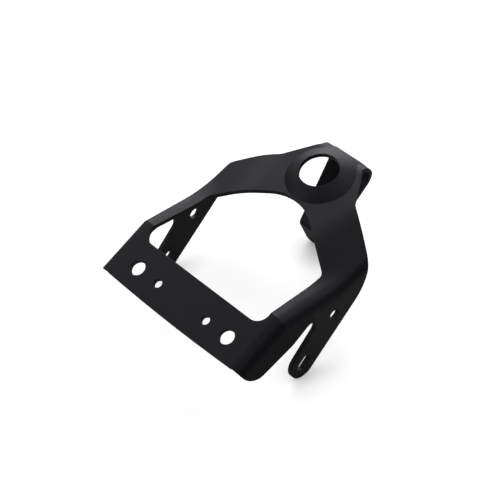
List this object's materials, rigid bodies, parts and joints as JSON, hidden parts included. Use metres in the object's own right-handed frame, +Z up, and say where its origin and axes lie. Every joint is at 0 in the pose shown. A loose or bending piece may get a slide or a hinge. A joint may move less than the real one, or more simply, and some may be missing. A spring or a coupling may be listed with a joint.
{
  "type": "headlight mounting bracket",
  "caption": "Folded sheet-steel headlight bracket in satin black: drilled front plate, sloping legs, domed lamp seat on a neck, and a tab bent back under it.",
  "frame": {"origin": "centre of the lamp seat hole, at its upper rim", "axes": "+X to the right, +Y to the rear towards the folded tab, +Z up along the axis of the lamp seat"},
  "size_m": [0.1486, 0.1786, 0.0763],
  "materials": {
    "satin_black": "satin black paint or powder coat"
  },
  "bodies": {
    "root": {"headlight_bracket": "satin_black"}
  },
  "joints": []
}
